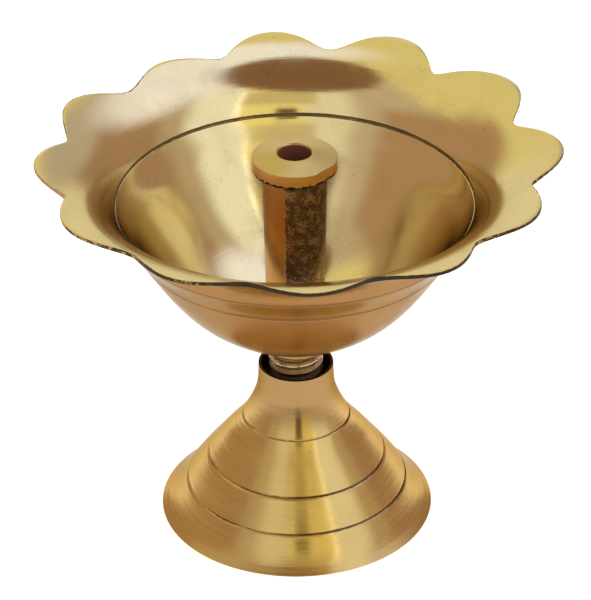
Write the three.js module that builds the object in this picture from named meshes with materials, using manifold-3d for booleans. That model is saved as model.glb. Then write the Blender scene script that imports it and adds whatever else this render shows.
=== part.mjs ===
// Brass diya: a petal-rimmed oil bowl with a wick holder, screwed on a hollow turned stand.
// Units are millimetres and +Z is up. The origin is the centre of the foot's underside, and
// every piece is turned about the Z axis.

import * as THREE from 'three';
import { mergeVertices } from 'three/addons/utils/BufferGeometryUtils.js';
import Module from 'manifold-3d';

// Clearance between pieces that rest on each other or screw together
const GAP = 0.3;

// Stand: a bell-shaped cone with an open cup at the top of its neck
const FOOT_RADIUS = 24.2;
const STAND_HEIGHT = 29.3;
const NECK_RADIUS = 6.6;
const STAND_WALL = 1.9;
const CUP_WALL = 0.5;
const CUP_DEPTH = 4.0;
const WEB_THICKNESS = 9.0;
// Heights of the grooves turned into the stand, as shares of its height
const STAND_GROOVES = [0.191, 0.369, 0.638];
// Outside of the stand: [share of the flare from neck to foot, share of the height]
const STAND_OUTLINE = [
  [1.0, 0.0],
  [0.865, 0.08],
  [0.635, 0.275],
  [0.373, 0.48],
  [0.163, 0.64],
  [0.027, 0.825],
  [0.0, 1.0],
];

// Stud: a short threaded stud with a thinner spigot that clamps the bowl
const STUD_RADIUS = 4.76;
const STUD_ENGAGEMENT = 7.3;
const STUD_CHAMFER = 0.7;
const SPIGOT_RADIUS = 2.5;
const SPIGOT_REACH = 5.6;

// Bowl: a rounded cone that flares out into a scalloped rim
const WALL = 1.2;
const BOSS_RADIUS = 5.4;
const BOSS_HEIGHT = 2.25;
const BOSS_CHAMFER = 0.6;
const BOSS_ABOVE_NECK = 3.15;
const HUB_THICKNESS = 4.2;
const SHOULDER_RADIUS = 28.3;
const SHOULDER_ABOVE_BOSS = 21.3;
const BELLY_SLOPE = THREE.MathUtils.degToRad(23.8);
const BELLY_HANDLE = 14.7;
const SHOULDER_SLOPE = THREE.MathUtils.degToRad(58.5);
const SHOULDER_HANDLE = 13.3;
const UPPER_GROOVE_BELOW_FLARE = 1.1;
const LOWER_GROOVE_BELOW_FLARE = 5.9;

// Rim: twelve round petals cut by hand from the flare
const PETAL_PHASE = THREE.MathUtils.degToRad(18.96);
const TIP_RADIUS = 45.0;
const VALLEY_RADIUS = 39.5;
const VALLEY_ROUNDING = 1.6;
const RIM_THICKNESS = 0.85;
const CREST_RADIUS = 45.85;
const CREST_HEIGHT = 70.7;
const FLARE_RADIUS = 17.0;
const FLARE_START = THREE.MathUtils.degToRad(151.5);
const RIM_OVERCUT = 1.5;
// Reach of each petal's tip as a share of TIP_RADIUS, anticlockwise from the first valley
const PETAL_REACH = [
  1.03, 1.036, 1.007, 0.945, 0.985, 0.998, 0.984, 0.98, 0.998, 0.994, 0.998, 1.006,
];

// Wick holder: a tapered post with a coned head and a round wick bore
const HEAD_RADIUS = 7.35;
const HEAD_BAND = 2.2;
const HEAD_CONE = 0.87;
const HEAD_EDGE_HEIGHT = 70.8;
const HEAD_FLAT_INSET = 0.35;
const HEAD_FLAT_DIRECTION = THREE.MathUtils.degToRad(-43);
const POST_TOP_RADIUS = 5.6;
const POST_FOOT_RADIUS = 5.0;
const WICK_RADIUS = 2.83;
const WICK_MOUTH_CHAMFER = 0.3;

// Turned grooves
const GROOVE_WIDTH = 0.5;
const GROOVE_DEPTH = 0.25;

// Number of facets round each piece
const BOWL_FACETS = 96;
const STAND_FACETS = 64;
const POST_FACETS = 40;
const STUD_FACETS = 32;
const PETAL_FACETS = 14;

// Number of steps along each turned curve
const STAND_STEPS = 12;
const BELLY_STEPS = 7;
const FLARE_STEPS = 6;

// Heights that follow from the driving dimensions
const CUP_FLOOR = STAND_HEIGHT - CUP_DEPTH;
const WEB_UNDERSIDE = CUP_FLOOR - WEB_THICKNESS;
const BOSS_BOTTOM = STAND_HEIGHT + BOSS_ABOVE_NECK;
const BOSS_TOP = BOSS_BOTTOM + BOSS_HEIGHT;
const BOWL_FLOOR = BOSS_BOTTOM + HUB_THICKNESS;
const SHOULDER_HEIGHT = BOSS_TOP + SHOULDER_ABOVE_BOSS;
const STUD_SHOULDER = BOSS_BOTTOM - GAP;
const POST_BASE = BOWL_FLOOR + GAP;

const brass = {
  polished: { color: 0xd9bd7a, roughness: 0.22, metalness: 1 },
  turned: { color: 0xc99a4e, roughness: 0.3, metalness: 1 },
  cast: { color: 0xb9853a, roughness: 0.38, metalness: 1 },
  thread: { color: 0xbfa27a, roughness: 0.25, metalness: 1 },
};

const wasm = await Module();
wasm.setup();

const at = (radius, height) => new THREE.Vector2(radius, height);

// Revolves a closed outline of [radius, height] points about Z. The outline runs up the
// outside and down the inside.
function revolve(outline, facets) {
  const geometry = new THREE.LatheGeometry([...outline, outline[0]], facets);
  geometry.rotateX(Math.PI / 2);
  return closed(geometry);
}

// Keeps only the positions and joins the vertices that lie on each other
function closed(geometry) {
  geometry.deleteAttribute('normal');
  geometry.deleteAttribute('uv');
  return mergeVertices(geometry, 1e-4);
}

function toSolid(geometry) {
  return new wasm.Manifold(new wasm.Mesh({
    numProp: 3,
    vertProperties: new Float32Array(geometry.attributes.position.array),
    triVerts: new Uint32Array(geometry.index.array),
  }));
}

function toGeometry(solid) {
  const mesh = solid.getMesh();
  const geometry = new THREE.BufferGeometry();
  geometry.setAttribute('position', new THREE.BufferAttribute(mesh.vertProperties, 3));
  geometry.setIndex(new THREE.BufferAttribute(mesh.triVerts, 1));
  return geometry;
}

// Radius of an outline at a height, for an outline whose heights only rise
function radiusAt(outline, height) {
  const above = Math.max(1, outline.findIndex((point) => point.y >= height));
  const low = outline[above - 1];
  const high = outline[above];
  return THREE.MathUtils.mapLinear(height, low.y, high.y, low.x, high.x);
}

// Cuts V-shaped turned grooves into a rising outline
function grooved(outline, heights) {
  let points = outline;
  for (const height of heights) {
    const bottom = height - GROOVE_WIDTH / 2;
    const top = height + GROOVE_WIDTH / 2;
    const groove = [
      at(radiusAt(outline, bottom), bottom),
      at(radiusAt(outline, height) - GROOVE_DEPTH, height),
      at(radiusAt(outline, top), top),
    ];
    points = points.filter((point) => Math.abs(point.y - height) > GROOVE_WIDTH / 2);
    points = [...points, ...groove].sort((a, b) => a.y - b.y);
  }
  return points;
}

// The same curve moved inwards by a wall's thickness, square to the curve
function inset(outline, thickness) {
  return outline.map((point, i) => {
    const before = outline[Math.max(i - 1, 0)];
    const after = outline[Math.min(i + 1, outline.length - 1)];
    const along = after.clone().sub(before).normalize();
    return at(point.x - along.y * thickness, point.y + along.x * thickness);
  });
}

// Part of a rising outline above one height and below another, with its ends on them
function between(outline, low, high) {
  return [
    at(radiusAt(outline, low), low),
    ...outline.filter((point) => point.y > low && point.y < high),
    at(radiusAt(outline, high), high),
  ];
}

// Hollow cone, a tapped web across it below the neck, and an open cup above the web
function standSolid() {
  const flare = FOOT_RADIUS - NECK_RADIUS;
  const knots = STAND_OUTLINE.map(([out, up]) => at(NECK_RADIUS + out * flare, up * STAND_HEIGHT));
  const outside = new THREE.SplineCurve(knots).getPoints(STAND_STEPS);
  const hollow = between(inset(outside, STAND_WALL), STAND_WALL / 2, WEB_UNDERSIDE - STAND_WALL);
  const threadRadius = STUD_RADIUS + GAP;
  return revolve([
    ...grooved(outside, STAND_GROOVES.map((share) => share * STAND_HEIGHT)),
    at(NECK_RADIUS - CUP_WALL, STAND_HEIGHT),
    at(NECK_RADIUS - CUP_WALL, CUP_FLOOR),
    at(threadRadius, CUP_FLOOR - GAP),
    at(threadRadius, WEB_UNDERSIDE),
    ...hollow.reverse(),
    at(FOOT_RADIUS - STAND_WALL, 0),
  ], STAND_FACETS);
}

// Threaded stud with a thinner spigot on its upper end
function studSolid() {
  const bottom = CUP_FLOOR - STUD_ENGAGEMENT;
  const top = POST_BASE + SPIGOT_REACH;
  const corner = STUD_CHAMFER / 2;
  return revolve([
    at(0, bottom),
    at(STUD_RADIUS - STUD_CHAMFER, bottom),
    at(STUD_RADIUS, bottom + STUD_CHAMFER),
    at(STUD_RADIUS, STUD_SHOULDER - corner),
    at(STUD_RADIUS - corner, STUD_SHOULDER),
    at(SPIGOT_RADIUS, STUD_SHOULDER),
    at(SPIGOT_RADIUS, top - corner),
    at(SPIGOT_RADIUS - corner, top),
    at(0, top),
  ], STUD_FACETS);
}

// Outside of the bowl, from the boss up to where the flare begins
function bellyOutline() {
  const start = at(BOSS_RADIUS, BOSS_TOP);
  const end = at(SHOULDER_RADIUS, SHOULDER_HEIGHT);
  const leave = at(Math.cos(BELLY_SLOPE), Math.sin(BELLY_SLOPE)).multiplyScalar(BELLY_HANDLE);
  const arrive = at(Math.cos(SHOULDER_SLOPE), Math.sin(SHOULDER_SLOPE)).multiplyScalar(SHOULDER_HANDLE);
  const belly = new THREE.CubicBezierCurve(start, start.clone().add(leave), end.clone().sub(arrive), end);
  return belly.getPoints(BELLY_STEPS);
}

// Arc of the flare, from the bowl out past the petals' tips. It lies below the flare's top by
// a depth at its start that changes evenly to the depth at its crest.
function flareArc(startDepth, crestDepth) {
  const end = Math.acos(RIM_OVERCUT / FLARE_RADIUS);
  const points = [];
  for (let i = 0; i <= FLARE_STEPS; i++) {
    const angle = THREE.MathUtils.lerp(FLARE_START, end, i / FLARE_STEPS);
    const share = (FLARE_START - angle) / (FLARE_START - Math.PI / 2);
    const radius = FLARE_RADIUS - THREE.MathUtils.lerp(startDepth, crestDepth, share);
    points.push(at(
      CREST_RADIUS + radius * Math.cos(angle),
      CREST_HEIGHT - FLARE_RADIUS + radius * Math.sin(angle),
    ));
  }
  return points;
}

// Radius at which one petal's round edge lies, at an angle from the middle of that petal
function petalEdge(reach, angle) {
  const half = Math.PI / PETAL_REACH.length;
  const halfChord = VALLEY_RADIUS * Math.sin(half);
  const rise = reach * TIP_RADIUS - VALLEY_RADIUS * Math.cos(half);
  const lobeRadius = (halfChord ** 2 + rise ** 2) / (2 * rise);
  const centre = reach * TIP_RADIUS - lobeRadius;
  const beside = lobeRadius ** 2 - (centre * Math.sin(angle)) ** 2;
  return beside > 0 ? centre * Math.cos(angle) + Math.sqrt(beside) : 0;
}

// Radius of the rim at an angle from the first valley: the outermost petal's edge there, with
// the valley between two petals rounded out
function rimRadius(angle) {
  const step = (2 * Math.PI) / PETAL_REACH.length;
  const edges = PETAL_REACH.map((reach, i) => {
    const off = angle - (i + 0.5) * step;
    return petalEdge(reach, Math.atan2(Math.sin(off), Math.cos(off)));
  });
  const [outer, next] = edges.sort((a, b) => b - a);
  const overlap = Math.max(VALLEY_ROUNDING - (outer - next), 0);
  return outer + overlap ** 2 / (4 * VALLEY_ROUNDING);
}

// The petals' edge as an upright prism
function petalPrism() {
  const count = PETAL_REACH.length * PETAL_FACETS;
  const outline = Array.from({ length: count }, (_, i) => {
    const angle = (i * 2 * Math.PI) / count;
    const radius = rimRadius(angle);
    return at(radius * Math.cos(angle + PETAL_PHASE), radius * Math.sin(angle + PETAL_PHASE));
  });
  const geometry = new THREE.ExtrudeGeometry(new THREE.Shape(outline), {
    depth: 2 * CREST_HEIGHT,
    bevelEnabled: false,
  });
  return toSolid(closed(geometry));
}

// Turned bowl with a boss below, one groove where the flare begins, and the petals cut out
function bowlSolid() {
  const underside = [...bellyOutline(), ...flareArc(WALL, RIM_THICKNESS)];
  const top = flareArc(0, 0);
  const flareFoot = top[0];
  const grooves = [
    flareFoot.y - LOWER_GROOVE_BELOW_FLARE,
    flareFoot.y - UPPER_GROOVE_BELOW_FLARE,
  ];
  const inside = between(inset(underside, WALL), BOWL_FLOOR, flareFoot.y - GROOVE_WIDTH);
  const boreRadius = SPIGOT_RADIUS + GAP;
  const turned = revolve([
    at(boreRadius, BOSS_BOTTOM),
    at(BOSS_RADIUS - BOSS_CHAMFER, BOSS_BOTTOM),
    at(BOSS_RADIUS, BOSS_BOTTOM + BOSS_CHAMFER),
    ...grooved(underside, grooves),
    ...top.reverse(),
    at(flareFoot.x + GROOVE_DEPTH / 2, flareFoot.y - GROOVE_WIDTH / 2),
    ...inside.reverse(),
    at(boreRadius, BOWL_FLOOR),
  ], BOWL_FACETS);
  return toGeometry(toSolid(turned).intersect(petalPrism()));
}

// Tapered post and head, bored right through: the wick above, the stud's spigot below
function wickHolderSolid() {
  const headUnderside = HEAD_EDGE_HEIGHT - HEAD_BAND;
  const top = HEAD_EDGE_HEIGHT + HEAD_CONE;
  const turned = revolve([
    at(WICK_RADIUS, POST_BASE),
    at(POST_FOOT_RADIUS, POST_BASE),
    at(POST_TOP_RADIUS, headUnderside),
    at(HEAD_RADIUS, headUnderside),
    at(HEAD_RADIUS, HEAD_EDGE_HEIGHT),
    at(WICK_RADIUS + WICK_MOUTH_CHAMFER, top),
    at(WICK_RADIUS, top - WICK_MOUTH_CHAMFER),
  ], POST_FACETS);
  const offcut = new THREE.BoxGeometry(HEAD_RADIUS, 2 * HEAD_RADIUS, 2 * HEAD_RADIUS);
  offcut.translate(HEAD_RADIUS * 1.5 - HEAD_FLAT_INSET, 0, HEAD_EDGE_HEIGHT);
  offcut.rotateZ(HEAD_FLAT_DIRECTION);
  return toGeometry(toSolid(turned).subtract(toSolid(closed(offcut))));
}

function piece(name, geometry, look) {
  const mesh = new THREE.Mesh(geometry, new THREE.MeshStandardMaterial(look));
  mesh.name = name;
  return mesh;
}

const diya = new THREE.Group();
diya.name = 'diya';
diya.add(
  piece('stand', standSolid(), brass.turned),
  piece('threaded_stud', studSolid(), brass.thread),
  piece('bowl', bowlSolid(), brass.polished),
  piece('wick_holder', wickHolderSolid(), brass.cast),
);

export default diya;
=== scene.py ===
"""Looks of a brass diya: a petal-rimmed bowl, its wick holder, the stud below it and the stand."""

import math

import bmesh
import bpy
from mathutils import Euler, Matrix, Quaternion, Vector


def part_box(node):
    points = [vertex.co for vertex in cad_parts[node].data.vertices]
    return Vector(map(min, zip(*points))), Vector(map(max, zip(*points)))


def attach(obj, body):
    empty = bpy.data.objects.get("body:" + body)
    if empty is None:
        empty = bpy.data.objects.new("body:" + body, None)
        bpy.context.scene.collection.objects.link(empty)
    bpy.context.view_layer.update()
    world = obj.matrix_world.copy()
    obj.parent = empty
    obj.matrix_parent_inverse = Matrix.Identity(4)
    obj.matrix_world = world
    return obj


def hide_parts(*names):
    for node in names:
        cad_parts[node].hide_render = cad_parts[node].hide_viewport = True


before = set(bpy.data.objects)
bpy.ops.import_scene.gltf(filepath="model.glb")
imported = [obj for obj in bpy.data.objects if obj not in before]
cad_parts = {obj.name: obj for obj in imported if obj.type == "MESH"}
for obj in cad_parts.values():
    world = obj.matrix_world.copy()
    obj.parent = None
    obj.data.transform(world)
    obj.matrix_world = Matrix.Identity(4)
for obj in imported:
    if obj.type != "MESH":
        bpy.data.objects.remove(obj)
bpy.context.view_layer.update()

bl_info = {
    "name": "Brass diya",
    "version": (1, 0, 0),
    "blender": (4, 5, 0),
    "location": "View3D > Sidebar > Diya",
    "description": "Models and finishes a brass oil lamp with a petal rim on a turned stand",
    "category": "Object",
}

MM = 0.001
CLEARANCE = 0.3 * MM
STAND_LOW, STAND_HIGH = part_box("stand")
STUD_LOW, STUD_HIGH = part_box("threaded_stud")
BOWL_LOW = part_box("bowl")[0]
HOLDER_LOW, HOLDER_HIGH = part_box("wick_holder")

# Outside of the stand: share of the flare from neck to foot, and share of the height
STAND_OUTLINE = (
    (1.0, 0.0), (0.865, 0.08), (0.635, 0.275), (0.373, 0.48),
    (0.163, 0.64), (0.027, 0.825), (0.0, 1.0),
)
# Heights of the stand's grooves as shares of its height
STAND_GROOVES = tuple(share * STAND_HIGH.z for share in (0.191, 0.369, 0.638))
# Outside of the bowl: its shoulder's radius and height above the boss, and how steeply it rises
# at the boss, at the shoulder and at the foot of the flare, and how far it keeps to each slope
SHOULDER_RADIUS = 28.3 * MM
SHOULDER_RISE = 21.3 * MM
BELLY_SLOPES = tuple(math.radians(slope) for slope in (23.8, 58.5, 61.5))
BELLY_HANDLES = (14.7 * MM, 13.3 * MM, 2 * MM)
BOWL_GROOVE_DROPS = (1.8 * MM, 6.6 * MM)
FLARE_START = math.radians(151.5)

# The petals as cut by hand, anticlockwise from the first valley: the valley's shift in degrees
# from an even spacing, its radius and softness, and the reach of the petal after it, as shares
# of the usual ones
PETAL_CUTS = (
    (-0.5, 1.005, 2.0, 1.04), (2.5, 1.0, 0.8, 1.05), (2.0, 1.02, 4.0, 1.02),
    (0.0, 0.995, 0.8, 0.94), (-1.0, 0.98, 9.0, 0.985), (-0.5, 1.0, 0.8, 0.987),
    (-3.0, 1.005, 0.3, 0.98), (-1.0, 1.0, 2.0, 0.975), (-0.5, 0.98, 0.6, 0.985),
    (0.0, 0.985, 1.0, 0.995), (-0.5, 1.005, 1.8, 0.998), (-0.5, 1.02, 0.3, 1.025),
)
PETALS = len(PETAL_CUTS)
PETAL_PHASE = math.radians(18.96)
COLUMNS_PER_PETAL = 24

# Radius at which the turned shell of the bowl is carried on to the petals' edge, and how far
# below the flare's highest line the middle of its wall lies there
BRIDGE = 34.5 * MM
BRIDGE_DROP = 5.1 * MM
# The petals' edge is drawn this far above and below the flare before it is laid on it
EDGE_OFFSETS = (4 * MM, -14 * MM)

HEAD_FLAT_DIRECTION = math.radians(-43)
HEAD_FLAT_INSET = 0.35 * MM

# The wick holder's post is dark and speckled from here to the right, and clean to the left
DARK_SIDE_FROM = -1.75 * MM
SKIN_LIGHT = (0.50, 0.37, 0.24, 1)
SKIN_DARK = (0.16, 0.11, 0.075, 1)
# Painted shade in the wick bore: a dark reddish colour on a surface that is not metal.
BORE_SHADE_COLOUR = (0.25, 0.09, 0.07, 1)

# Shares of the stand's height between which painted shade on the neck, under the bowl, sets in as a
# brown darkening towards the top
NECK_SHADE = (0.62, 0.85)

# How far below the bowl the stud's thread stays bright, and where painted shade, in the soot colour,
# covers it all as it sinks into the neck's cup
STUD_LIT_DROP = 2.0 * MM
STUD_SHADED_DROP = 3.4 * MM

# Tint of grazing reflections: worn brass is darker there than a perfect metal
BOWL_GRAZING = (0.7, 0.67, 0.6, 1)
STAND_GRAZING = (0.55, 0.44, 0.32, 1)

# Brightness that the floor adds to its lit colour where the camera or the metal sees it
FLOOR_GLOW = 0.74

CAMERA_PLACE = (0, -0.54848, 0.38354)
CAMERA_PITCH = 0.557
CAMERA_ROLL = -0.007
FOCAL_LENGTH_IN_PIXELS = 3703.05
PICTURE_LONG_SIDE = 600
SENSOR_MM = 36

# Light of the room, each part laid over those before it. Azimuth 0 is the camera's side and 90
# the right; all angles are in degrees.
ROOM = (0.46, 0.33, 0.21)
# Round patches: azimuth and elevation, where it is full and where it is gone, colour
ROOM_PATCHES = (
    ((-75, 50), 38, 62, (0.60, 0.51, 0.38)),
    ((-150, 44), 30, 44, (0.80, 0.73, 0.36)),
    ((-176, 2), 18, 32, (0.92, 0.87, 0.64)),
)
# Bands: azimuths and elevations between which it is full, how far it fades, colour
ROOM_BANDS = (
    ((66, 96), (0, 40), 10, (0.53, 0.43, 0.29)),
    ((98, 146), (-5, 32), 12, (0.42, 0.27, 0.17)),
    ((-140, -66), (-5, 32), 14, (0.46, 0.30, 0.18)),
    ((-30, 0), (20, 54), 20, (0.86, 0.83, 0.66)),
    ((30, 66), (18, 58), 14, (0.98, 1.0, 0.9)),
    ((-6, 37), (12, 66), 1.5, (0.97, 0.88, 0.38)),
    ((-14, 38), (43, 54), 4, (0.66, 0.57, 0.30)),
    ((37, 39), (22, 56), 1, (1.9, 1.8, 1.5)),
    ((-1, 11), (-10, 35), 2, (0.12, 0.07, 0.03)),
)
OVERHEAD_PATCHES = (
    ((156, 31), 8, 20, (0.55, 0.49, 0.43)),
    ((118, 62), 12, 34, (1.06, 1.10, 1.30)),
    ((152, 66), 12, 24, (1.02, 1.06, 1.24)),
    ((-12, 79), 22, 25, (0.24, 0.13, 0.07)),
)


# Sizes and colours that a user would change


def length(name, description, default):
    """A distance in metres, shown in the scene's unit of length."""
    return bpy.props.FloatProperty(
        name=name, description=description, default=default, min=0.0, unit="LENGTH", precision=5,
    )


def colour(name, description, default):
    return bpy.props.FloatVectorProperty(
        name=name, description=description, default=default, size=4, min=0.0, max=1.0,
        subtype="COLOR",
    )


class DiyaSizes(bpy.types.PropertyGroup):
    """Sizes of the lamp beyond those that the frame gives"""

    neck_radius: length("Neck radius", "Outside of the stand's neck", 6.6 * MM)
    stand_wall: length("Stand wall", "Thickness of the hollow foot", 1.9 * MM)
    cup_depth: length("Cup depth", "Depth of the open cup in the neck", 4.0 * MM)
    cup_wall: length("Cup wall", "Thickness of the neck's lip", 0.5 * MM)
    web: length("Web", "Height of the tapped web below the cup", 9.0 * MM)
    groove_width: length("Groove width", "Width of the turned grooves", 0.34 * MM)
    groove_depth: length("Groove depth", "Depth of the turned grooves", 0.14 * MM)
    bowl_groove_depth: length("Fine groove depth", "Grooves outside the bowl", 0.03 * MM)
    pitch: length("Thread pitch", "Rise of the stud's thread in a turn", 1.5875 * MM)
    thread_depth: length("Thread depth", "From crest to root of the stud's thread", 0.75 * MM)
    wall: length("Bowl wall", "Thickness of the bowl", 1.2 * MM)
    rim: length("Rim thickness", "Thickness of the petals at their tips", 0.55 * MM)
    boss_radius: length("Boss radius", "The turned boss below the bowl", 5.4 * MM)
    boss_height: length("Boss height", "Height of the boss below the bowl", 2.25 * MM)
    hub: length("Hub", "From the boss's underside to the bowl's floor", 4.2 * MM)
    tip_radius: length("Tip radius", "Usual distance from the axis to a petal's tip", 45.0 * MM)
    valley_radius: length("Valley radius", "From the axis to where two petals meet", 40.0 * MM)
    valley_softness: bpy.props.FloatProperty(
        name="Valley softness", description="0 gives sharp valleys between the petals",
        default=0.15, min=0.01, max=0.5,
    )
    crest_radius: length("Crest radius", "From the axis to the flare's highest line", 45.85 * MM)
    crest_height: length("Crest height", "Height of the flare's highest line", 70.7 * MM)
    flare_radius: length("Flare radius", "Radius of the flare's curve", 17.0 * MM)
    head_radius: length("Head radius", "Outside of the wick holder's head", 7.35 * MM)
    head_band: length("Head band", "Height of the head's side", 2.2 * MM)
    head_cone: length("Head cone", "Rise from the head's edge to the bore", 0.87 * MM)
    post_top: length("Post top", "Radius of the post below its head", 5.6 * MM)
    post_foot: length("Post foot", "Radius of the post at its foot", 5.0 * MM)
    wick_radius: length("Wick radius", "Radius of the wick bore", 2.83 * MM)


class DiyaFinish(bpy.types.PropertyGroup):
    """Colours of the lamp's finishes"""

    polished: colour("Polished brass", "Inside of the bowl and petals", (0.83, 0.70, 0.43, 1))
    # Its dark orange is partly a plainer turned finish and partly painted shade and painted reflection
    # on the bowl's downward faces.
    plain: colour("Plain brass", "The bowl's outside", (0.40, 0.215, 0.08, 1))
    turned: colour("Turned brass", "The stand", (0.74, 0.54, 0.24, 1))
    cast: colour("Cast brass", "The wick holder", (0.74, 0.42, 0.16, 1))
    head: colour("Turned head", "Top of the wick holder", (0.64, 0.49, 0.22, 1))
    thread: colour("Threaded stud", "The stud below the bowl", (0.80, 0.68, 0.48, 1))
    # Tarnish is also the colour of the painted shade on the stand's neck.
    tarnish: colour("Tarnish", "Brown film and specks", (0.30, 0.17, 0.07, 1))
    # Soot is also the colour of the painted shade in the stand's cup and low on the stud.
    soot: colour("Soot", "Blackened edges and grooves", (0.045, 0.027, 0.02, 1))
    floor: colour("Floor", "The pale floor", (0.86, 0.86, 0.86, 1))


# Outlines


def catmull_rom(knots, steps):
    """Points along a smooth curve through the knots, with the end knots doubled."""
    points = []
    count = len(knots) - 1
    for i in range(steps + 1):
        place = count * i / steps
        k = min(int(place), count - 1)
        t = place - k
        p0, p1 = knots[max(k - 1, 0)], knots[k]
        p2, p3 = knots[k + 1], knots[min(k + 2, count)]
        points.append(tuple(
            0.5 * (2 * b + (c - a) * t + (2 * a - 5 * b + 4 * c - d) * t * t
                   + (3 * b - a - 3 * c + d) * t ** 3)
            for a, b, c, d in zip(p0, p1, p2, p3)
        ))
    return points


def bezier(a, b, c, d, steps):
    """Points along a cubic curve from a to d with handles b and c."""
    return [
        tuple(
            (1 - t) ** 3 * p + 3 * (1 - t) ** 2 * t * q + 3 * (1 - t) * t * t * r + t ** 3 * s
            for p, q, r, s in zip(a, b, c, d)
        )
        for t in (i / steps for i in range(steps + 1))
    ]


def polar(start, distance, angle):
    """The point at a distance and angle from another."""
    return (start[0] + distance * math.cos(angle), start[1] + distance * math.sin(angle))


def radius_at(outline, height):
    """Radius of a rising outline at a height."""
    for (r0, z0), (r1, z1) in zip(outline, outline[1:]):
        if z0 - 0.001 * MM <= height <= z1 + 0.001 * MM:
            return r0 + (r1 - r0) * (height - z0) / max(z1 - z0, 1e-12)
    raise ValueError(f"the outline doesn't reach {height}")


def grooved(outline, heights, width, depth):
    """The outline with rounded grooves turned into it."""
    half = width / 2
    points = [p for p in outline if all(abs(p[1] - h) > half * 1.2 for h in heights)]
    for height in heights:
        for share in (-1.0, -0.7, -0.35, 0.0, 0.35, 0.7, 1.0):
            z = height + share * half
            points.append((radius_at(outline, z) - depth * (1 - share * share), z))
    return sorted(points, key=lambda p: p[1])


def inset(outline, thickness):
    """The outline moved inwards by a wall's thickness, square to the curve."""
    moved = []
    for i, (r, z) in enumerate(outline):
        r0, z0 = outline[max(i - 1, 0)]
        r1, z1 = outline[min(i + 1, len(outline) - 1)]
        span = math.hypot(r1 - r0, z1 - z0)
        moved.append((r - (z1 - z0) / span * thickness, z + (r1 - r0) / span * thickness))
    return moved


def between(outline, low, high):
    """Part of a rising outline between two heights, with its ends on them."""
    inner = [p for p in outline if low < p[1] < high]
    return [(radius_at(outline, low), low), *inner, (radius_at(outline, high), high)]


def softened(outline, size, closed=True):
    """The outline with its sharp corners rounded off."""
    points = []
    count = len(outline)
    for i, corner in enumerate(outline):
        before, after = outline[i - 1], outline[(i + 1) % count]
        reach = min(math.dist(corner, before), math.dist(corner, after))
        turn_in = math.atan2(corner[1] - before[1], corner[0] - before[0])
        turn_out = math.atan2(after[1] - corner[1], after[0] - corner[0])
        turned = abs((turn_out - turn_in + math.pi) % math.tau - math.pi)
        end = not closed and i in (0, count - 1)
        if end or turned < math.radians(28) or reach < 0.15 * MM:
            points.append(corner)
            continue
        cut = min(size, 0.4 * reach)
        start, end = polar(corner, -cut, turn_in), polar(corner, cut, turn_out)
        points.extend(bezier(start, corner, corner, end, 4))
    return points


# Modelling steps


def start_piece(name):
    """A new mesh object in edit mode that holds a single vertex at the origin."""
    bpy.ops.object.select_all(action="DESELECT")
    bpy.ops.mesh.primitive_plane_add(size=MM)
    piece = bpy.context.object
    piece.name = name
    piece.data.name = name
    bpy.ops.object.mode_set(mode="EDIT")
    bpy.ops.mesh.select_mode(type="VERT")
    bpy.ops.mesh.merge(type="CENTER")
    return piece


def trace(points):
    """Moves the single vertex to the first point and extrudes it along the others."""
    bpy.ops.transform.translate(value=points[0])
    for here, there in zip(points, points[1:]):
        step = [b - a for a, b in zip(here, there)]
        bpy.ops.mesh.extrude_region_move(TRANSFORM_OT_translate={"value": step})


def upright(outline, angle=0.0):
    """An outline of (radius, height) points, stood up in the half plane at an angle round Z."""
    return [(r * math.cos(angle), r * math.sin(angle), z) for r, z in outline]


def tidy():
    """Merges doubled vertices and points all faces outwards."""
    bpy.ops.mesh.select_all(action="SELECT")
    bpy.ops.mesh.remove_doubles(threshold=0.002 * MM)
    bpy.ops.mesh.normals_make_consistent(inside=False)


def cut_off(point, facing):
    """Cuts away what lies beyond a plane and closes the cut."""
    bpy.ops.mesh.select_all(action="SELECT")
    bpy.ops.mesh.bisect(
        plane_co=point, plane_no=facing, use_fill=True, clear_outer=True, threshold=0.0002 * MM,
    )


def turn(columns):
    """Spins what is traced round the axis and closes the seam."""
    bpy.ops.mesh.select_all(action="SELECT")
    bpy.ops.mesh.spin(steps=columns, angle=math.tau, center=(0, 0, 0), axis=(0, 0, 1))
    tidy()


def turned_piece(name, outline, columns):
    """A closed solid of revolution, left in object mode."""
    piece = start_piece(name)
    trace(upright([*outline, outline[0]]))
    turn(columns)
    bpy.ops.object.mode_set(mode="OBJECT")
    return piece


def select(piece, kind, test):
    """Selects the vertices, edges or faces of a mesh in edit mode that pass a test."""
    bpy.ops.mesh.select_mode(type={"verts": "VERT", "edges": "EDGE", "faces": "FACE"}[kind])
    bpy.ops.mesh.select_all(action="DESELECT")
    mesh = bmesh.from_edit_mesh(piece.data)
    for part in getattr(mesh, kind):
        if test(part):
            part.select_set(True)
    mesh.select_flush_mode()
    bmesh.update_edit_mesh(piece.data)


def make_active(piece):
    bpy.ops.object.select_all(action="DESELECT")
    piece.select_set(True)
    bpy.context.view_layer.objects.active = piece


def apply_modifier(piece, kind, **settings):
    """Adds a modifier with these settings and applies it."""
    make_active(piece)
    modifier = piece.modifiers.new(kind.title(), kind)
    for key, value in settings.items():
        setattr(modifier, key, value)
    bpy.ops.object.modifier_apply(modifier=modifier.name)


def smooth(piece, degrees):
    make_active(piece)
    bpy.ops.object.shade_smooth_by_angle(angle=math.radians(degrees))


def discard(piece):
    mesh = piece.data
    bpy.data.objects.remove(piece)
    bpy.data.meshes.remove(mesh)


def mark(piece, name, value_at):
    """Stores a value for each vertex under a name that the materials read."""
    attribute = piece.data.attributes.new(name, "FLOAT", "POINT")
    attribute.data.foreach_set("value", [value_at(v) for v in piece.data.vertices])


def distance_to(value, places):
    """Distance in millimetres from a value to the nearest of several places."""
    return min(abs(value - place) for place in places) / MM


def out_from_axis(vertex):
    return math.hypot(vertex.co.x, vertex.co.y)


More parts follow.
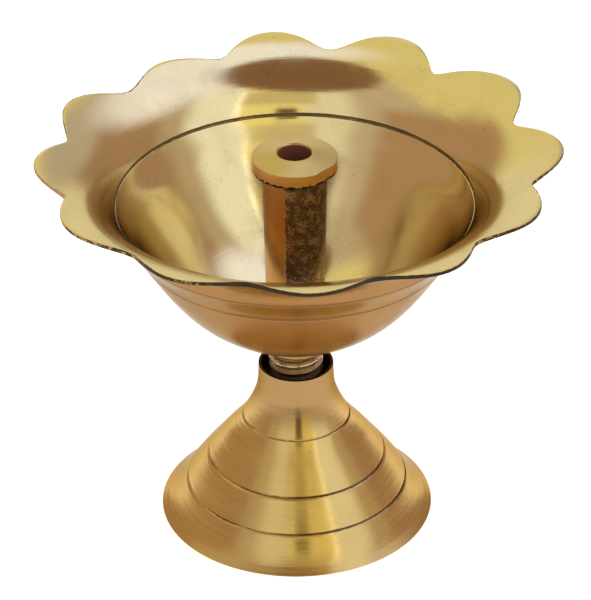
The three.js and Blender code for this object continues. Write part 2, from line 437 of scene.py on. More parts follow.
def hand_over(piece, node, body, material):
    """Puts the piece in the frame in place of its CAD node, with its material."""
    piece.data.materials.clear()
    piece.data.materials.append(material)
    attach(piece, body)
    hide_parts(node)


# Stand


def stand_outside(sizes):
    """Outside of the stand, from the foot up to the neck's lip."""
    spread = STAND_HIGH.x - sizes.neck_radius
    knots = [(sizes.neck_radius + out * spread, up * STAND_HIGH.z) for out, up in STAND_OUTLINE]
    return catmull_rom(knots, 84)


def stand_outline(sizes):
    """Closed outline of the stand: up the outside, down through the cup and the tapped web."""
    outside = stand_outside(sizes)
    height = STAND_HIGH.z
    cup = sizes.neck_radius - sizes.cup_wall
    cup_floor = height - sizes.cup_depth
    underside = cup_floor - sizes.web
    thread = STUD_HIGH.x + CLEARANCE
    wall = sizes.stand_wall
    hollow = between(inset(outside, wall), wall / 2, underside - wall)
    return softened([
        *grooved(outside, STAND_GROOVES, sizes.groove_width, sizes.groove_depth),
        (cup, height),
        (cup, cup_floor + 0.6 * MM),
        (cup - 0.6 * MM, cup_floor),
        (thread + 0.3 * MM, cup_floor),
        (thread, cup_floor - 0.3 * MM),
        (thread, underside + 0.4 * MM),
        (thread + 0.4 * MM, underside),
        *reversed(hollow),
        (STAND_HIGH.x - wall, 0.0),
    ], 0.14 * MM)


def model_stand(sizes):
    stand = turned_piece("stand_turned", stand_outline(sizes), 192)
    outside = stand_outside(sizes)

    def hidden(v):
        """1 in the hollow, the web and the cup, and 0 on the outside."""
        height = min(max(v.co.z, 0.0), STAND_HIGH.z)
        return float(out_from_axis(v) < radius_at(outside, height) - 0.4 * MM)

    def cup(v):
        """1 inside the neck's cup and on its lip."""
        return float(v.co.z > STAND_HIGH.z - 0.05 * MM or (
            v.co.z > STAND_HIGH.z - sizes.cup_depth - MM and hidden(v)
        ))

    mark(stand, "hidden", hidden)
    mark(stand, "cup", cup)
    mark(stand, "groove", lambda v: distance_to(v.co.z, STAND_GROOVES) + 9 * hidden(v))
    smooth(stand, 35)
    return stand


# Threaded stud


def model_stud(sizes):
    """A thread made by a screw, trimmed to a chamfered blank, with a plain spigot on top."""
    crest = STUD_HIGH.x
    root = crest - sizes.thread_depth
    low, high = STUD_LOW.z, BOWL_LOW.z - CLEARANCE
    turns = math.ceil((high - low) / sizes.pitch) + 2
    stud = start_piece("threaded_stud_cut")
    trace(upright([
        (radius, low + (share - 1) * sizes.pitch) for radius, share in (
            (root, 0.0), (root, 0.1), (crest - 0.04 * MM, 0.43), (crest, 0.47),
            (crest, 0.53), (crest - 0.04 * MM, 0.57), (root, 0.9), (root, 1.0),
        )
    ]))
    bpy.ops.object.mode_set(mode="OBJECT")
    apply_modifier(
        stud, "SCREW", screw_offset=sizes.pitch, iterations=turns, steps=64,
        render_steps=64, use_merge_vertices=True, merge_threshold=0.002 * MM,
    )
    bpy.ops.object.mode_set(mode="EDIT")
    cut_off((0, 0, low), (0, 0, -1))
    cut_off((0, 0, high), (0, 0, 1))
    tidy()
    bpy.ops.object.mode_set(mode="OBJECT")
    chamfer = 0.7 * MM
    blank = turned_piece("stud_blank", [
        (0.0, low - MM), (crest - chamfer - MM, low - MM), (crest + MM, low + chamfer + MM),
        (crest + MM, high - MM - chamfer / 2), (crest - MM - chamfer / 2, high + MM), (0.0, high + MM),
    ], 96)
    apply_modifier(stud, "BOOLEAN", operation="INTERSECT", object=blank, solver="EXACT")
    discard(blank)
    spigot_radius = sizes.wick_radius - CLEARANCE - 0.03 * MM
    spigot = turned_piece("stud_spigot", softened([
        (0.0, high - 2 * MM), (spigot_radius, high - 2 * MM), (spigot_radius, STUD_HIGH.z),
        (0.0, STUD_HIGH.z),
    ], 0.35 * MM), 64)
    apply_modifier(stud, "BOOLEAN", operation="UNION", object=spigot, solver="EXACT")
    discard(spigot)
    smooth(stud, 28)
    return stud


# Bowl


def rim_radius(sizes, angle):
    """Radius of the petals' edge at an angle round the axis: an arch between two valleys."""
    spacing = 360 / PETALS
    turned = math.degrees(angle - PETAL_PHASE)
    for k, (shift, valley, softness, reach) in enumerate(PETAL_CUTS):
        next_shift, next_valley, next_softness, _ = PETAL_CUTS[(k + 1) % PETALS]
        share = (turned - spacing * k - shift) % 360 / (spacing + next_shift - shift)
        if share < 1:
            break
    low = sizes.valley_radius * (valley + (next_valley - valley) * share)
    soft = sizes.valley_softness * (softness + (next_softness - softness) * share)
    arch = (math.hypot(math.sin(math.pi * share), soft) - soft) / (math.hypot(1, soft) - soft)
    return low + (sizes.tip_radius * reach - low) * arch


def flare(sizes, thick, thin, end=math.pi / 2):
    """Arc of the flare, below its top by a thickness that tapers towards the rim."""
    centre = (sizes.crest_radius, sizes.crest_height - sizes.flare_radius)
    steps = 60
    points = []
    for i in range(steps + 1):
        angle = FLARE_START + (end - FLARE_START) * i / steps
        taper = (FLARE_START - angle) / (FLARE_START - math.pi / 2)
        depth = thick + (thin - thick) * taper
        points.append(polar(centre, sizes.flare_radius - depth, angle))
    return points


def belly(sizes, boss_top, flare_foot):
    """Outside of the bowl, from the boss up to where the flare begins."""
    start = (sizes.boss_radius, boss_top)
    shoulder = (SHOULDER_RADIUS, boss_top + SHOULDER_RISE)
    low, high, foot = BELLY_SLOPES
    first, second, last = BELLY_HANDLES
    lower = bezier(
        start, polar(start, first, low), polar(shoulder, -second, high), shoulder, 48,
    )
    upper = bezier(
        shoulder, polar(shoulder, last, high), polar(flare_foot, -last, foot), flare_foot, 12,
    )
    return lower + upper[1:]


def inside_radius(points, radius):
    """The part of an outwards running arc inside a radius, with its end on it."""
    inner = [p for p in points if p[0] < radius]
    (r0, z0), (r1, z1) = inner[-1], points[len(inner)]
    return [*inner, (radius, z0 + (z1 - z0) * (radius - r0) / (r1 - r0))]


def bowl_outline(sizes):
    """Open outline of the bowl: from the flare's top, down the inside and up the outside."""
    bottom = BOWL_LOW.z
    boss_top = bottom + sizes.boss_height
    floor = bottom + sizes.hub
    bore = sizes.wick_radius - 0.03 * MM
    top = flare(sizes, 0, 0)
    under = flare(sizes, sizes.wall, sizes.rim)
    outside = belly(sizes, boss_top, under[0]) + inside_radius(under, BRIDGE)[1:]
    foot_r, foot_z = top[0]
    width, depth = sizes.groove_width, sizes.groove_depth
    inside = between(inset(outside, sizes.wall), floor, foot_z - 0.9 * width)
    low_r, low_z = inside[-1]
    groove = [
        (
            low_r + (foot_r - low_r) * share + 0.87 * depth * (1 - (2 * share - 1) ** 2),
            low_z + (foot_z - low_z) * share - 0.5 * depth * (1 - (2 * share - 1) ** 2),
        )
        for share in (0.2, 0.4, 0.6, 0.8)
    ]
    drops = [foot_z - drop for drop in BOWL_GROOVE_DROPS]
    return softened([
        *reversed(inside_radius(top, BRIDGE)),
        *reversed(groove),
        *reversed(inside),
        (bore, floor),
        (bore, bottom),
        (sizes.boss_radius - 0.6 * MM, bottom),
        (sizes.boss_radius, bottom + 0.6 * MM),
        *grooved(outside, drops, width, sizes.bowl_groove_depth),
    ], 0.15 * MM, closed=False)


def petal_edge(sizes, height):
    """A closed loop along the petals' edge, level at a height."""
    loop = start_piece("petal_edge")
    columns = PETALS * COLUMNS_PER_PETAL
    angles = [PETAL_PHASE + math.tau * i / columns for i in (*range(columns), 0)]
    radii = [rim_radius(sizes, a) for a in angles]
    trace([(r * math.cos(a), r * math.sin(a), height) for r, a in zip(radii, angles)])
    bpy.ops.mesh.select_all(action="SELECT")
    bpy.ops.mesh.remove_doubles(threshold=0.002 * MM)
    bpy.ops.object.mode_set(mode="OBJECT")
    return loop


def flare_sheet(sizes, thick, thin):
    """A turned sheet in the shape of the flare's top or underside, for the petals to lie on."""
    arc = flare(sizes, thick, thin, end=math.radians(84))
    sheet = start_piece("flare_sheet")
    trace(upright(arc, PETAL_PHASE))
    turn(PETALS * COLUMNS_PER_PETAL)
    bpy.ops.object.mode_set(mode="OBJECT")
    return sheet


def lay_on(piece, group, sheet):
    """Drops the vertices of a group on a sheet, straight up or down."""
    apply_modifier(
        piece, "SHRINKWRAP", target=sheet, wrap_method="PROJECT", use_project_z=True,
        use_negative_direction=True, use_positive_direction=True, vertex_group=group,
    )
    discard(sheet)


def model_bowl(sizes):
    """A turned shell whose flare is carried out to the petals' edge and closed by a cut rim."""
    bowl = start_piece("bowl_petalled")
    trace(upright(bowl_outline(sizes), PETAL_PHASE))
    turn(PETALS * COLUMNS_PER_PETAL)
    bpy.ops.object.mode_set(mode="OBJECT")
    loops = [petal_edge(sizes, sizes.crest_height + rise) for rise in EDGE_OFFSETS]
    make_active(bowl)
    for loop in loops:
        loop.select_set(True)
    bpy.ops.object.join()

    middle = sizes.crest_height - BRIDGE_DROP
    for name, side in (("petal_top", 1), ("petal_underside", -1)):
        bpy.ops.object.mode_set(mode="EDIT")
        select(bowl, "edges", lambda e: len(e.link_faces) < 2 and all(
            (v.co.z - middle) * side > 0 for v in e.verts
        ))
        bpy.ops.mesh.bridge_edge_loops(number_cuts=12, interpolation="LINEAR")
        select(bowl, "verts", lambda v: (v.co.z - middle) * side > 0
               and math.hypot(v.co.x, v.co.y) > BRIDGE + 0.02 * MM)
        bowl.vertex_groups.new(name=name)
        bpy.ops.object.vertex_group_assign()
        bpy.ops.object.mode_set(mode="OBJECT")
    lay_on(bowl, "petal_top", flare_sheet(sizes, 0, 0))
    lay_on(bowl, "petal_underside", flare_sheet(sizes, sizes.wall, sizes.rim))
    bowl.vertex_groups.clear()

    bpy.ops.object.mode_set(mode="EDIT")
    select(bowl, "edges", lambda e: len(e.link_faces) == 1)
    bpy.ops.mesh.bridge_edge_loops(number_cuts=3, interpolation="LINEAR")
    tidy()
    select(bowl, "edges", lambda e: is_rim_corner(e, sizes))
    bpy.ops.mesh.bevel(offset=0.09 * MM, segments=2, clamp_overlap=True)
    bpy.ops.object.mode_set(mode="OBJECT")
    smooth(bowl, 40)

    def rim_distance(v):
        """Millimetres from the petals' edge, up to 9."""
        angle = math.atan2(v.co.y, v.co.x)
        return min(9.0, max(0.0, rim_radius(sizes, angle) - out_from_axis(v)) / MM)

    foot = flare(sizes, 0, 0)[0]
    drops = [foot[1] - drop for drop in BOWL_GROOVE_DROPS]

    def groove_distance(v):
        """Millimetres from the nearest groove, up to 9."""
        if v.normal.z < 0:
            return min(9.0, distance_to(v.co.z, drops))
        return min(9.0, math.dist((out_from_axis(v), v.co.z), foot) / MM)

    mark(bowl, "rim", rim_distance)
    mark(bowl, "groove", groove_distance)
    mark(bowl, "outside", lambda v: float(v.normal.z < 0))
    return bowl


def is_rim_corner(edge, sizes):
    """True for the edges between the petals' flat sides and their cut rim."""
    if len(edge.link_faces) != 2 or edge.calc_face_angle() < math.radians(40):
        return False
    a, b = (v.co for v in edge.verts)
    far = min(math.hypot(a.x, a.y), math.hypot(b.x, b.y)) > sizes.valley_radius - 0.05 * MM
    return far and abs(a.z - b.z) < 0.6 * (a - b).length


# Wick holder


def model_wick_holder(sizes):
    """A turned post and head, bored right through, with a small flat on the head."""
    base = HOLDER_LOW.z
    top = HOLDER_HIGH.z
    edge = top - sizes.head_cone
    underside = edge - sizes.head_band
    bore = sizes.wick_radius
    chamfer = 0.3 * MM
    holder = turned_piece("wick_holder_turned", softened([
        (bore, base),
        (sizes.post_foot, base),
        *((sizes.post_foot + (sizes.post_top - sizes.post_foot) * i / 24,
           base + (underside - base) * i / 24) for i in range(1, 25)),
        (sizes.head_radius, underside),
        (sizes.head_radius, edge),
        (bore + chamfer, top),
        (bore, top - chamfer),
        *((bore, top - chamfer - (top - base - chamfer) * i / 12) for i in range(1, 12)),
    ], 0.16 * MM), 144)
    bpy.ops.object.mode_set(mode="EDIT")
    facing = (math.cos(HEAD_FLAT_DIRECTION), math.sin(HEAD_FLAT_DIRECTION), 0)
    reach = sizes.head_radius - HEAD_FLAT_INSET
    cut_off([reach * c for c in facing], facing)
    tidy()
    bpy.ops.object.mode_set(mode="OBJECT")
    mark(holder, "head", lambda v: (v.co.z - underside) / MM)
    mark(holder, "bore", lambda v: float(out_from_axis(v) < bore + 0.1 * MM and v.co.z < top))
    smooth(holder, 30)
    return holder


# Material nodes


def put(tree, kind, values=(), **settings):
    """Adds a shader node, sets its options, and fills its inputs with values or sockets."""
    node = tree.nodes.new("ShaderNode" + kind)
    for key, value in settings.items():
        setattr(node, key, value)
    for key, value in dict(values).items():
        if isinstance(value, bpy.types.NodeSocket):
            tree.links.new(value, node.inputs[key])
        else:
            node.inputs[key].default_value = value
    return node


def sums(tree, operation, *values):
    """A Math node over its values."""
    return put(tree, "Math", enumerate(values), operation=operation).outputs[0]


def times(tree, first, second):
    return sums(tree, "MULTIPLY", first, second)


def plus(tree, first, second):
    return sums(tree, "ADD", first, second)


def ramp(tree, value, start, end, low=0.0, high=1.0):
    """A value mapped smoothly from one range to another."""
    values = {"Value": value, "From Min": start, "From Max": end, "To Min": low, "To Max": high}
    return put(tree, "MapRange", values, interpolation_type="SMOOTHSTEP").outputs[0]


def mixed(tree, factor, first, second):
    """Two colours mixed by a factor."""
    first, second = (
        value if isinstance(value, bpy.types.NodeSocket) else tuple(value) for value in (first, second)
    )
    return put(tree, "Mix", {0: factor, 6: first, 7: second}, data_type="RGBA").outputs[2]


def attribute(tree, name):
    return put(tree, "Attribute", attribute_name=name).outputs["Fac"]


def place_on(tree):
    """The object's own coordinates, whole and as X, Y and Z."""
    place = put(tree, "TexCoord").outputs["Object"]
    return place, put(tree, "SeparateXYZ", {0: place}).outputs


def out_from_z(tree, parts):
    """Distance from the Z axis."""
    x_squared = times(tree, parts[0], parts[0])
    y_squared = times(tree, parts[1], parts[1])
    return sums(tree, "SQRT", plus(tree, x_squared, y_squared))


def new_group(name, inputs, outputs):
    """A shader node group with number inputs and outputs, and its two end nodes."""
    tree = bpy.data.node_groups.new(name, "ShaderNodeTree")
    for label, default in inputs:
        socket = tree.interface.new_socket(label, in_out="INPUT", socket_type="NodeSocketFloat")
        socket.default_value = default
    for label in outputs:
        tree.interface.new_socket(label, in_out="OUTPUT", socket_type="NodeSocketFloat")
    return tree, tree.nodes.new("NodeGroupInput").outputs, tree.nodes.new("NodeGroupOutput").inputs


def use(tree, group, output, **values):
    """Places a group in a tree with its own values, and gives one of its outputs."""
    node = tree.nodes.new("ShaderNodeGroup")
    node.node_tree = group
    for key, value in values.items():
        socket = node.inputs[key.replace("_", " ").capitalize()]
        if isinstance(value, bpy.types.NodeSocket):
            tree.links.new(value, socket)
        else:
            socket.default_value = value
    return node.outputs[output]


def turned_lines_group():
    """Fine lines round the Z axis, as a turning tool or a polishing cloth leaves them."""
    tree, given, out = new_group(
        "turned_lines", [("Lines per metre", 1500.0), ("Breakup", 0.6)], ["Height"],
    )
    parts = place_on(tree)[1]
    radius = out_from_z(tree, parts)
    across = times(tree, sums(tree, "DIVIDE", parts[0], radius), given["Breakup"])
    along = times(tree, sums(tree, "DIVIDE", parts[1], radius), given["Breakup"])
    rings = times(tree, radius, given["Lines per metre"])
    rise = times(tree, parts[2], given["Lines per metre"])
    vector = put(tree, "CombineXYZ", {0: rings, 1: across, 2: along}).outputs[0]
    noise = put(
        tree, "TexNoise", {"Vector": vector, "W": rise, "Scale": 1.0, "Detail": 4.0, "Roughness": 0.65},
        noise_dimensions="4D",
    )
    tree.links.new(noise.outputs[0], out["Height"])
    return tree


def mottle_group():
    """Cloudy patches, from 0 to 1."""
    tree, given, out = new_group(
        "mottle", [("Scale", 90.0), ("Low", 0.45), ("High", 0.7)], ["Mask"],
    )
    noise = put(tree, "TexNoise", {
        "Vector": place_on(tree)[0], "Scale": given["Scale"], "Detail": 5.0, "Roughness": 0.6,
        "Distortion": 0.4,
    })
    tree.links.new(ramp(tree, noise.outputs[0], given["Low"], given["High"]), out["Mask"])
    return tree


def specks_group():
    """Small irregular spots, denser where the clusters are. A higher Amount gives more of them."""
    tree, given, out = new_group(
        "specks", [("Scale", 900.0), ("Amount", 0.3), ("Cluster scale", 60.0)], ["Mask"],
    )
    place = place_on(tree)[0]
    fine = put(tree, "TexNoise", {
        "Vector": place, "Scale": given["Scale"], "Detail": 3.0, "Roughness": 0.7,
    }).outputs[0]
    cluster = put(tree, "TexNoise", {
        "Vector": place, "Scale": given["Cluster scale"], "Detail": 2.0,
    }).outputs[0]
    level = plus(tree, fine, times(tree, cluster, given["Amount"]))
    tree.links.new(ramp(tree, level, 0.74, 0.80), out["Mask"])
    return tree


def soot_group():
    """Dark grime along a line. It ends raggedly at a reach in millimetres, which also wanders."""
    tree, given, out = new_group("soot", [
        ("Distance", 9.0), ("Reach", 0.4), ("Ragged", 0.5), ("Scale", 1500.0), ("Wander", 0.0),
    ], ["Mask"])
    place = place_on(tree)[0]
    fine = put(tree, "TexNoise", {
        "Vector": place, "Scale": given["Scale"], "Detail": 4.0, "Roughness": 0.7,
    }).outputs[0]
    broad = put(tree, "TexNoise", {"Vector": place, "Scale": 60.0, "Detail": 3.0}).outputs[0]
    ragged = times(tree, sums(tree, "SUBTRACT", fine, 0.5), given["Ragged"])
    wander = times(tree, sums(tree, "SUBTRACT", broad, 0.5), given["Wander"])
    reach = plus(tree, given["Reach"], plus(tree, ragged, wander))
    edge = sums(tree, "SUBTRACT", reach, given["Distance"])
    tree.links.new(ramp(tree, edge, -0.05, 0.05), out["Mask"])
    return tree


def new_material(name):
    """An empty material, its tree, and its metal shader already linked to the output."""
    material = bpy.data.materials.new(name)
    material.use_nodes = True
    tree = material.node_tree
    tree.nodes.clear()
    shader = put(tree, "BsdfPrincipled", {"Metallic": 1.0})
    output = tree.nodes.new("ShaderNodeOutputMaterial")
    tree.links.new(shader.outputs[0], output.inputs["Surface"])
    return material, tree, shader


def bumped(tree, shader, height, distance):
    """Feeds a height to the shader's normal, where 1 stands up by the distance."""
    bump = put(tree, "Bump", {"Height": height, "Distance": distance, "Strength": 1.0})
    tree.links.new(bump.outputs[0], shader.inputs["Normal"])


def bowl_brass(finish, effects):
    """Polished inside and petals, a plainer turned outside, dark grooves and a blackened rim. The
    outside's dark orange colour is also painted shade and painted reflection of the stand and floor
    below it.
    """
    material, tree, shader = new_material("polished_brass")
    outside = attribute(tree, "outside")
    cloudy = use(tree, effects["mottle"], "Mask", scale=140.0, low=0.4, high=0.75)
    spots = use(tree, effects["specks"], "Mask", scale=1500.0, amount=0.2, cluster_scale=90.0)
    lines = use(tree, effects["turned_lines"], "Height", lines_per_metre=1800.0, breakup=0.7)
    rim_dirt = use(
        tree, effects["soot"], "Mask", distance=attribute(tree, "rim"), reach=0.07, ragged=0.7,
        scale=1300.0, wander=0.9,
    )
    groove_dirt = use(
        tree, effects["soot"], "Mask", distance=attribute(tree, "groove"), reach=0.3, ragged=0.25,
        wander=0.35,
    )
    # The darker outside colour: partly its turned finish, partly painted shade and painted reflection
    # from below.
    base = mixed(tree, outside, finish.polished, finish.plain)
    toned = mixed(tree, times(tree, cloudy, 0.1), base, finish.tarnish)
    spotted = mixed(tree, times(tree, spots, 0.3), toned, finish.tarnish)
    cut = ramp(tree, attribute(tree, "rim"), 0.03, 0.12, 0.9, 0.0)
    worn_edge = mixed(tree, cut, spotted, finish.tarnish)
    faint = ramp(tree, outside, 0.0, 1.0, 0.9, 0.35)
    darkening = sums(tree, "MAXIMUM", rim_dirt, times(tree, groove_dirt, faint))
    tree.links.new(mixed(tree, darkening, worn_edge, finish.soot), shader.inputs["Base Color"])
    polish = ramp(tree, cloudy, 0.0, 1.0, 0.12, 0.2)
    worn = plus(tree, times(tree, darkening, 0.5), times(tree, outside, 0.1))
    tree.links.new(plus(tree, polish, worn), shader.inputs["Roughness"])
    tree.links.new(ramp(tree, darkening, 0.0, 1.0, 1.0, 0.15), shader.inputs["Metallic"])
    bumped(tree, shader, lines, 0.012 * MM)
    shader.inputs["Specular Tint"].default_value = BOWL_GRAZING
    return material


def stand_brass(finish, effects):
    """Fine turned brass with circular tool lines, dark grooves and a darker hollow, with painted shade
    black in the neck's cup and brown on the neck under the bowl.
    """
    material, tree, shader = new_material("turned_brass")
    cloudy = use(tree, effects["mottle"], "Mask", scale=60.0, low=0.4, high=0.8)
    lines = use(tree, effects["turned_lines"], "Height", lines_per_metre=3200.0, breakup=0.5)
    coarse = use(tree, effects["turned_lines"], "Height", lines_per_metre=1000.0, breakup=0.15)
    spots = use(tree, effects["specks"], "Mask", scale=1400.0, amount=0.2, cluster_scale=80.0)
    groove_dirt = use(
        tree, effects["soot"], "Mask", distance=attribute(tree, "groove"), reach=0.1, ragged=0.25,
        scale=900.0, wander=0.7,
    )
    hidden, cup = attribute(tree, "hidden"), attribute(tree, "cup")
    film_low, film_high = (share * STAND_HIGH.z for share in NECK_SHADE)
    # Painted shade: the neck turns brown towards the bowl above it; the cloudy patches are the brass's
    # own tone.
    neck = ramp(tree, place_on(tree)[1][2], film_low, film_high, 0.0, 0.75)
    film_and_shade = sums(tree, "MAXIMUM", times(tree, cloudy, 0.2), neck)
    toned = mixed(tree, film_and_shade, finish.turned, finish.tarnish)
    spotted = mixed(tree, times(tree, spots, 0.35), toned, finish.tarnish)
    shaded = mixed(tree, times(tree, hidden, 0.6), spotted, finish.tarnish)
    # Dark grooves, and painted shade in the neck's cup: soot-black over its inside and its lip.
    darkening = sums(tree, "MAXIMUM", times(tree, groove_dirt, 0.85), cup)
    tree.links.new(mixed(tree, darkening, shaded, finish.soot), shader.inputs["Base Color"])
    satin = ramp(tree, lines, 0.3, 0.7, 0.16, 0.24)
    rough = plus(tree, satin, times(tree, hidden, 0.2))
    tree.links.new(rough, shader.inputs["Roughness"])
    shader.inputs["Anisotropic"].default_value = 0.85
    shader.inputs["Anisotropic Rotation"].default_value = 0.25
    shader.inputs["Specular Tint"].default_value = STAND_GRAZING
    tangent = put(tree, "Tangent", direction_type="RADIAL", axis="Z")
    tree.links.new(tangent.outputs[0], shader.inputs["Tangent"])
    height = plus(tree, lines, times(tree, coarse, 2.0))
    bumped(tree, shader, height, 0.016 * MM)
    return material


def stud_brass(finish, effects):
    """Bright thread with grime in its roots, and painted shade all over further down, where it sinks
    into the neck's cup.
    """
    material, tree, shader = new_material("thread_brass")
    spots = use(tree, effects["specks"], "Mask", scale=900.0, amount=0.35, cluster_scale=200.0)
    parts = place_on(tree)[1]
    radius = out_from_z(tree, parts)
    crest = STUD_HIGH.x
    roots = ramp(tree, radius, crest - 0.75 * MM, crest - 0.2 * MM, 0.8, 0.0)
    # Painted shade: the thread turns soot-dark below the bowl, where it sits in the neck's cup.
    deep_shade = ramp(
        tree, parts[2], BOWL_LOW.z - STUD_SHADED_DROP, BOWL_LOW.z - STUD_LIT_DROP, 0.9, 0.0,
    )
    darkening = sums(tree, "MAXIMUM", sums(tree, "MAXIMUM", times(tree, spots, 0.6), roots), deep_shade)
    tree.links.new(mixed(tree, darkening, finish.thread, finish.soot), shader.inputs["Base Color"])
    tree.links.new(ramp(tree, darkening, 0.0, 1.0, 0.08, 0.5), shader.inputs["Roughness"])
    bumped(tree, shader, spots, 0.03 * MM)
    return material


def holder_brass(finish, effects):
    """Turned head on a cast post, which is clean on one side and dark and speckled on the other."""
    material, tree, shader = new_material("cast_brass")
    place, parts = place_on(tree)
    head = attribute(tree, "head")
    on_post = ramp(tree, head, -0.25, 0.05, 1.0, 0.0)
    skin = use(tree, effects["specks"], "Mask", scale=3200.0, amount=0.62, cluster_scale=700.0)
    cloudy = use(tree, effects["mottle"], "Mask", scale=160.0, low=0.35, high=0.75)
    lines = use(tree, effects["turned_lines"], "Height", lines_per_metre=2500.0, breakup=1.0)
    wobble = put(tree, "TexNoise", {"Vector": place, "Scale": 600.0, "Detail": 4.0}).outputs[0]
    ragged = times(tree, sums(tree, "SUBTRACT", wobble, 0.5), 1.4 * MM)
    side = plus(tree, parts[0], ragged)
    begun = ramp(tree, side, DARK_SIDE_FROM, DARK_SIDE_FROM + 0.15 * MM)
    dark_side = times(tree, begun, on_post)
    fringe = use(
        tree, effects["soot"], "Mask", reach=0.75, ragged=2.2, scale=1100.0, wander=1.0,
        distance=sums(tree, "ABSOLUTE", plus(tree, head, 0.45)),
    )
    top = mixed(tree, ramp(tree, head, 2.1, 2.3), finish.cast, finish.head)
    clean = mixed(tree, on_post, top, finish.cast)
    toned = mixed(tree, times(tree, cloudy, 0.2), clean, finish.tarnish)
    skinned = mixed(tree, skin, SKIN_LIGHT, SKIN_DARK)
    scaled = mixed(tree, times(tree, dark_side, 0.95), toned, skinned)
    # Painted shade in the bore: dark reddish and not metal.
    bore = attribute(tree, "bore")
    sooty = mixed(tree, fringe, scaled, finish.soot)
    tree.links.new(mixed(tree, bore, sooty, BORE_SHADE_COLOUR), shader.inputs["Base Color"])
    tree.links.new(sums(tree, "SUBTRACT", 1.0, bore), shader.inputs["Metallic"])
    shader.inputs["Roughness"].default_value = 0.3
    rough_skin = times(tree, times(tree, wobble, dark_side), 7.0)
    bumped(tree, shader, plus(tree, lines, rough_skin), 0.02 * MM)
    return material


# Stage


def floor_material(finish):
    """Pale floor that shows white to the camera and in the metal, and takes soft shadows."""
    material = bpy.data.materials.new("pale_floor")
    material.use_nodes = True
    tree = material.node_tree
    tree.nodes.clear()
    path = put(tree, "LightPath").outputs
    seen = sums(tree, "MAXIMUM", path["Is Camera Ray"], path["Is Glossy Ray"])
    seen = sums(tree, "MAXIMUM", seen, path["Is Transmission Ray"])
    matt = put(tree, "BsdfDiffuse", {"Color": finish.floor}).outputs[0]
    shine = put(tree, "Emission", {"Strength": times(tree, seen, FLOOR_GLOW)}).outputs[0]
    lit = put(tree, "AddShader", {0: matt, 1: shine}).outputs[0]
    clear = put(tree, "BsdfTransparent").outputs[0]
    behind = put(tree, "NewGeometry").outputs["Backfacing"]
    shown = put(tree, "MixShader", {0: behind, 1: lit, 2: clear}).outputs[0]
    output = tree.nodes.new("ShaderNodeOutputMaterial")
    tree.links.new(shown, output.inputs["Surface"])
    return material


def soft_box(name, azimuth, elevation, distance, side, power, tint):
    """A square light that faces the lamp's middle. It lights the floor and the dull grime, and
    the metal mirrors only the room. Azimuth 0 is the camera's side, 90 the right."""
    a, e = math.radians(azimuth), math.radians(elevation)
    back = (math.sin(a) * math.cos(e), -math.cos(a) * math.cos(e), math.sin(e))
    bpy.ops.object.light_add(
        type="AREA", location=[distance * b + m for b, m in zip(back, (0, 0, 0.04))],
        rotation=(math.pi / 2 - e, 0, a),
    )
    light = bpy.context.object
    light.name = name
    light.data.size = side
    light.data.energy = power
    light.data.color = tint
    light.visible_glossy = False


def glow(tree, colour_so_far, direction, tight, loose, tint):
    """Lays a soft round patch of a colour over the surroundings, in a direction."""
    place = put(tree, "TexCoord").outputs["Generated"]
    azimuth, elevation = (math.radians(d) for d in direction)
    toward = (
        math.sin(azimuth) * math.cos(elevation), -math.cos(azimuth) * math.cos(elevation),
        math.sin(elevation),
    )
    facing = put(tree, "VectorMath", {0: place, 1: toward}, operation="DOT_PRODUCT").outputs["Value"]
    inner, outer = math.cos(math.radians(tight)), math.cos(math.radians(loose))
    return mixed(tree, ramp(tree, facing, outer, inner), colour_so_far, (*tint, 1))


def band(tree, colour_so_far, azimuths, elevations, fade, tint):
    """Lays a soft-edged area of a colour over the surroundings, between angles."""
    parts = put(tree, "SeparateXYZ", {0: put(tree, "TexCoord").outputs["Generated"]}).outputs
    forward = times(tree, parts[1], -1.0)
    azimuth = sums(tree, "DEGREES", sums(tree, "ARCTAN2", parts[0], forward))
    elevation = sums(tree, "DEGREES", sums(tree, "ARCSINE", parts[2]))
    within = 1.0
    for angle, (low, high) in ((azimuth, azimuths), (elevation, elevations)):
        within = times(tree, within, ramp(tree, angle, low - fade, low))
        within = times(tree, within, ramp(tree, angle, high, high + fade, 1.0, 0.0))
    return mixed(tree, within, colour_so_far, (*tint, 1))


def light_surroundings():
    """A soft warm room: pale and yellow in front, brown at the sides, white high up behind, and
    a dim round patch overhead. The camera sees plain white."""
    world = bpy.data.worlds.new("studio")
    bpy.context.scene.world = world
    world.use_nodes = True
    tree = world.node_tree
    tree.nodes.clear()
    seen = (*ROOM, 1)
    for patch in ROOM_PATCHES:
        seen = glow(tree, seen, *patch)
    for area in ROOM_BANDS:
        seen = band(tree, seen, *area)
    for patch in OVERHEAD_PATCHES:
        seen = glow(tree, seen, *patch)
    path = put(tree, "LightPath").outputs
    seen = mixed(tree, path["Is Camera Ray"], seen, (1, 1, 1, 1))
    background = put(tree, "Background", {"Color": seen, "Strength": 1.0}).outputs[0]
    output = tree.nodes.new("ShaderNodeOutputWorld")
    tree.links.new(background, output.inputs["Surface"])


def place_camera():
    """The camera at the photograph's viewing angle, nearly square on and looking down."""
    bpy.ops.object.camera_add(location=CAMERA_PLACE)
    camera = bpy.context.object
    camera.name = "camera"
    camera.rotation_mode = "QUATERNION"
    looking = Euler((math.pi / 2 - CAMERA_PITCH, 0, 0)).to_quaternion()
    camera.rotation_quaternion = looking @ Quaternion((0, 0, 1), CAMERA_ROLL)
    camera.data.sensor_width = SENSOR_MM
    camera.data.lens = SENSOR_MM * FOCAL_LENGTH_IN_PIXELS / PICTURE_LONG_SIDE
    camera.data.clip_start = 0.01
    bpy.context.scene.camera = camera


# Operators


def shared_effects():
    """The node groups that the finishes share, built once."""
    makers = {
        "turned_lines": turned_lines_group, "mottle": mottle_group, "specks": specks_group,
        "soot": soot_group,
    }
    return {name: bpy.data.node_groups.get(name) or maker() for name, maker in makers.items()}


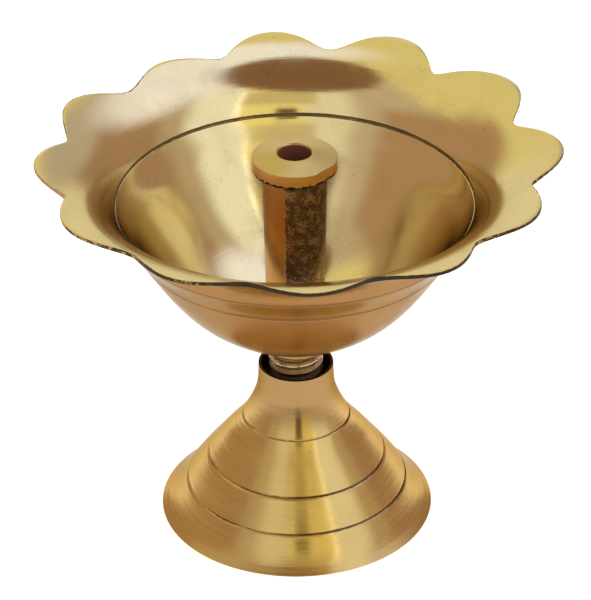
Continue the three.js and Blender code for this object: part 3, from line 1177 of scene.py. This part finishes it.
def make(context, model, brass, node, body):
    """Models a piece, finishes it and puts it in the frame."""
    piece = model(context.scene.diya_sizes)
    material = brass(context.scene.diya_finish, shared_effects())
    hand_over(piece, node, body, material)


class DIYA_OT_stage(bpy.types.Operator):
    """Set the camera, the floor and the soft light"""

    bl_idname = "diya.stage"
    bl_label = "Stage"

    def execute(self, context):
        place_camera()
        bpy.ops.object.select_all(action="DESELECT")
        bpy.ops.mesh.primitive_plane_add(size=4.0, location=(0, 0, -0.02 * MM))
        floor = context.object
        floor.name = "floor"
        floor.data.materials.append(floor_material(context.scene.diya_finish))
        light_surroundings()
        soft_box("window", 112, 62, 1.0, 0.6, 0.6, (1.0, 0.98, 0.95))
        context.scene.view_settings.view_transform = "Standard"
        return {"FINISHED"}


class DIYA_OT_stand(bpy.types.Operator):
    """Turn the hollow stand"""

    bl_idname = "diya.stand"
    bl_label = "Stand"

    def execute(self, context):
        make(context, model_stand, stand_brass, "stand", "stand")
        return {"FINISHED"}


class DIYA_OT_stud(bpy.types.Operator):
    """Cut the threaded stud"""

    bl_idname = "diya.stud"
    bl_label = "Threaded stud"

    def execute(self, context):
        make(context, model_stud, stud_brass, "threaded_stud", "stud")
        return {"FINISHED"}


class DIYA_OT_bowl(bpy.types.Operator):
    """Turn the bowl and cut its petals"""

    bl_idname = "diya.bowl"
    bl_label = "Bowl"

    def execute(self, context):
        make(context, model_bowl, bowl_brass, "bowl", "bowl")
        return {"FINISHED"}


class DIYA_OT_wick_holder(bpy.types.Operator):
    """Turn the wick holder"""

    bl_idname = "diya.wick_holder"
    bl_label = "Wick holder"

    def execute(self, context):
        make(context, model_wick_holder, holder_brass, "wick_holder", "wick_holder")
        return {"FINISHED"}


class DIYA_PT_panel(bpy.types.Panel):
    """Lists the lamp's pieces and its sizes and colours"""

    bl_idname = "DIYA_PT_panel"
    bl_label = "Brass diya"
    bl_space_type = "VIEW_3D"
    bl_region_type = "UI"
    bl_category = "Diya"

    def draw(self, context):
        for operator in OPERATORS:
            self.layout.operator(operator.bl_idname)
        for group in (context.scene.diya_sizes, context.scene.diya_finish):
            box = self.layout.box()
            for name in type(group).__annotations__:
                box.prop(group, name)


OPERATORS = (DIYA_OT_stage, DIYA_OT_stand, DIYA_OT_stud, DIYA_OT_bowl, DIYA_OT_wick_holder)
CLASSES = (DiyaSizes, DiyaFinish, *OPERATORS, DIYA_PT_panel)


def register():
    for cls in CLASSES:
        bpy.utils.register_class(cls)
    bpy.types.Scene.diya_sizes = bpy.props.PointerProperty(type=DiyaSizes)
    bpy.types.Scene.diya_finish = bpy.props.PointerProperty(type=DiyaFinish)


def unregister():
    del bpy.types.Scene.diya_finish
    del bpy.types.Scene.diya_sizes
    for cls in reversed(CLASSES):
        bpy.utils.unregister_class(cls)


def main():
    register()
    bpy.ops.diya.stage()
    bpy.ops.diya.stand()
    bpy.ops.diya.stud()
    bpy.ops.diya.bowl()
    bpy.ops.diya.wick_holder()


if __name__ == "__main__":
    main()
